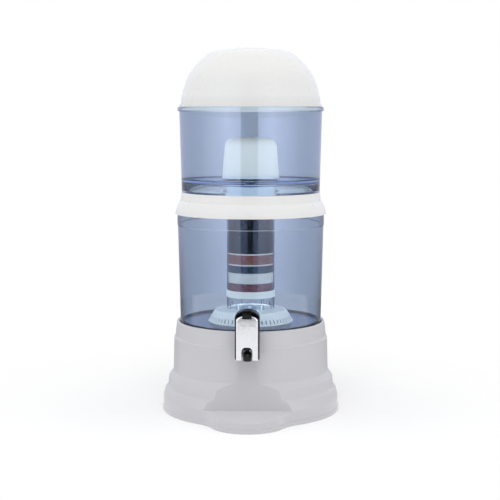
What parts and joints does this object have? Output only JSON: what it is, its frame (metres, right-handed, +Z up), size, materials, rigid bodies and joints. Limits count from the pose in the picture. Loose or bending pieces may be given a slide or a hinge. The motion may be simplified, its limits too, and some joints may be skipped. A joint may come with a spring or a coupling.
{
  "type": "gravity water filter with tap",
  "caption": "Gravity water filter: clear stacked tanks on a stepped stand, with a ceramic candle, a hanging media cartridge, a domed lid and a lever tap.",
  "frame": {"origin": "on the standing surface, on the vertical axis of the tanks", "axes": "+Z up along the tanks' axis, tap and front foot towards -Y, +X to the viewer's right when facing the tap"},
  "size_m": [0.2896, 0.3276, 0.589],
  "materials": {
    "stand_plastic": "satin",
    "white_plastic": "gloss",
    "clear_blue_plastic": "clear gloss",
    "pearl_plastic": "satin",
    "clear_plastic": "clear gloss",
    "blue_plastic": "satin",
    "filter_ceramic": "matte",
    "filter_felt": "matte",
    "carbon_granules": "granular",
    "brown_sand": "granular",
    "blue_granules": "granular",
    "white_sand": "granular",
    "clay_balls": "granular",
    "mineral_stone": "rough",
    "black_plastic": "gloss",
    "bright_chrome": "polished",
    "spring_steel": "bright",
    "soft_rubber": "matte"
  },
  "bodies": {
    "stand_body": {"stand": "stand_plastic"},
    "lower_assembly": {"lower_tank": "clear_blue_plastic", "mineral_box_tray": "pearl_plastic", "mineral_box_cover": "pearl_plastic", "mineral_stones": "mineral_stone", "tap_back_shell": "black_plastic", "tap_front_cover": "bright_chrome", "tap_valve_body": "black_plastic", "tap_bonnet": "black_plastic", "tap_spring": "spring_steel", "tap_nozzle": "black_plastic", "tap_lever_pin": "spring_steel", "tap_washer_outer": "soft_rubber", "tap_washer_inner": "soft_rubber", "tap_nut": "black_plastic"},
    "lever_body": {"tap_lever": "black_plastic"},
    "plunger_body": {"tap_plunger": "black_plastic", "tap_seal": "soft_rubber"},
    "cover_ring": {"tank_cover": "white_plastic"},
    "upper_assembly": {"upper_tank": "clear_blue_plastic", "ceramic_dome": "filter_ceramic", "ceramic_base": "pearl_plastic", "ceramic_gasket": "soft_rubber", "cartridge_gasket": "soft_rubber", "cartridge_top_cap": "blue_plastic", "cartridge_housing": "clear_plastic", "cartridge_bottom_cap": "pearl_plastic", "cartridge_outlet": "clear_plastic", "separator_pads": "filter_felt", "media_carbon": "carbon_granules", "media_mineral_sand": "brown_sand", "media_silver_carbon": "blue_granules", "media_silica_sand": "white_sand", "media_mineral_balls": "clay_balls"},
    "lid_body": {"lid": "white_plastic"}
  },
  "joints": [
    {"name": "lower_tank_lift", "type": "slide", "parent": "stand_body", "child": "lower_assembly", "axis": [0, 0, 1], "range_m": [0, 0.1]},
    {"name": "cover_lift", "type": "slide", "parent": "lower_assembly", "child": "cover_ring", "axis": [0, 0, 1], "range_m": [0, 0.17]},
    {"name": "upper_tank_lift", "type": "slide", "parent": "cover_ring", "child": "upper_assembly", "axis": [0, 0, 1], "range_m": [0, 0.21]},
    {"name": "lid_lift", "type": "slide", "parent": "upper_assembly", "child": "lid_body", "axis": [0, 0, 1], "range_m": [0, 0.12]},
    {"name": "tap_lever_press", "type": "hinge", "parent": "lower_assembly", "child": "lever_body", "pos_m": [0, -0.1496, 0.1726], "axis": [1, 0, 0], "range_deg": [0, 14], "stiffness_Nm_per_rad": 0.3, "springref_deg": -17.19},
    {"name": "plunger_rise", "type": "slide", "parent": "lower_assembly", "child": "plunger_body", "axis": [0, 0, 1], "range_m": [0, 0.0022], "deforming": ["tap_spring"]}
  ],
  "couplings": [
    {"joint": "plunger_rise", "follows": "tap_lever_press", "m_per_rad": 0.0086}
  ]
}
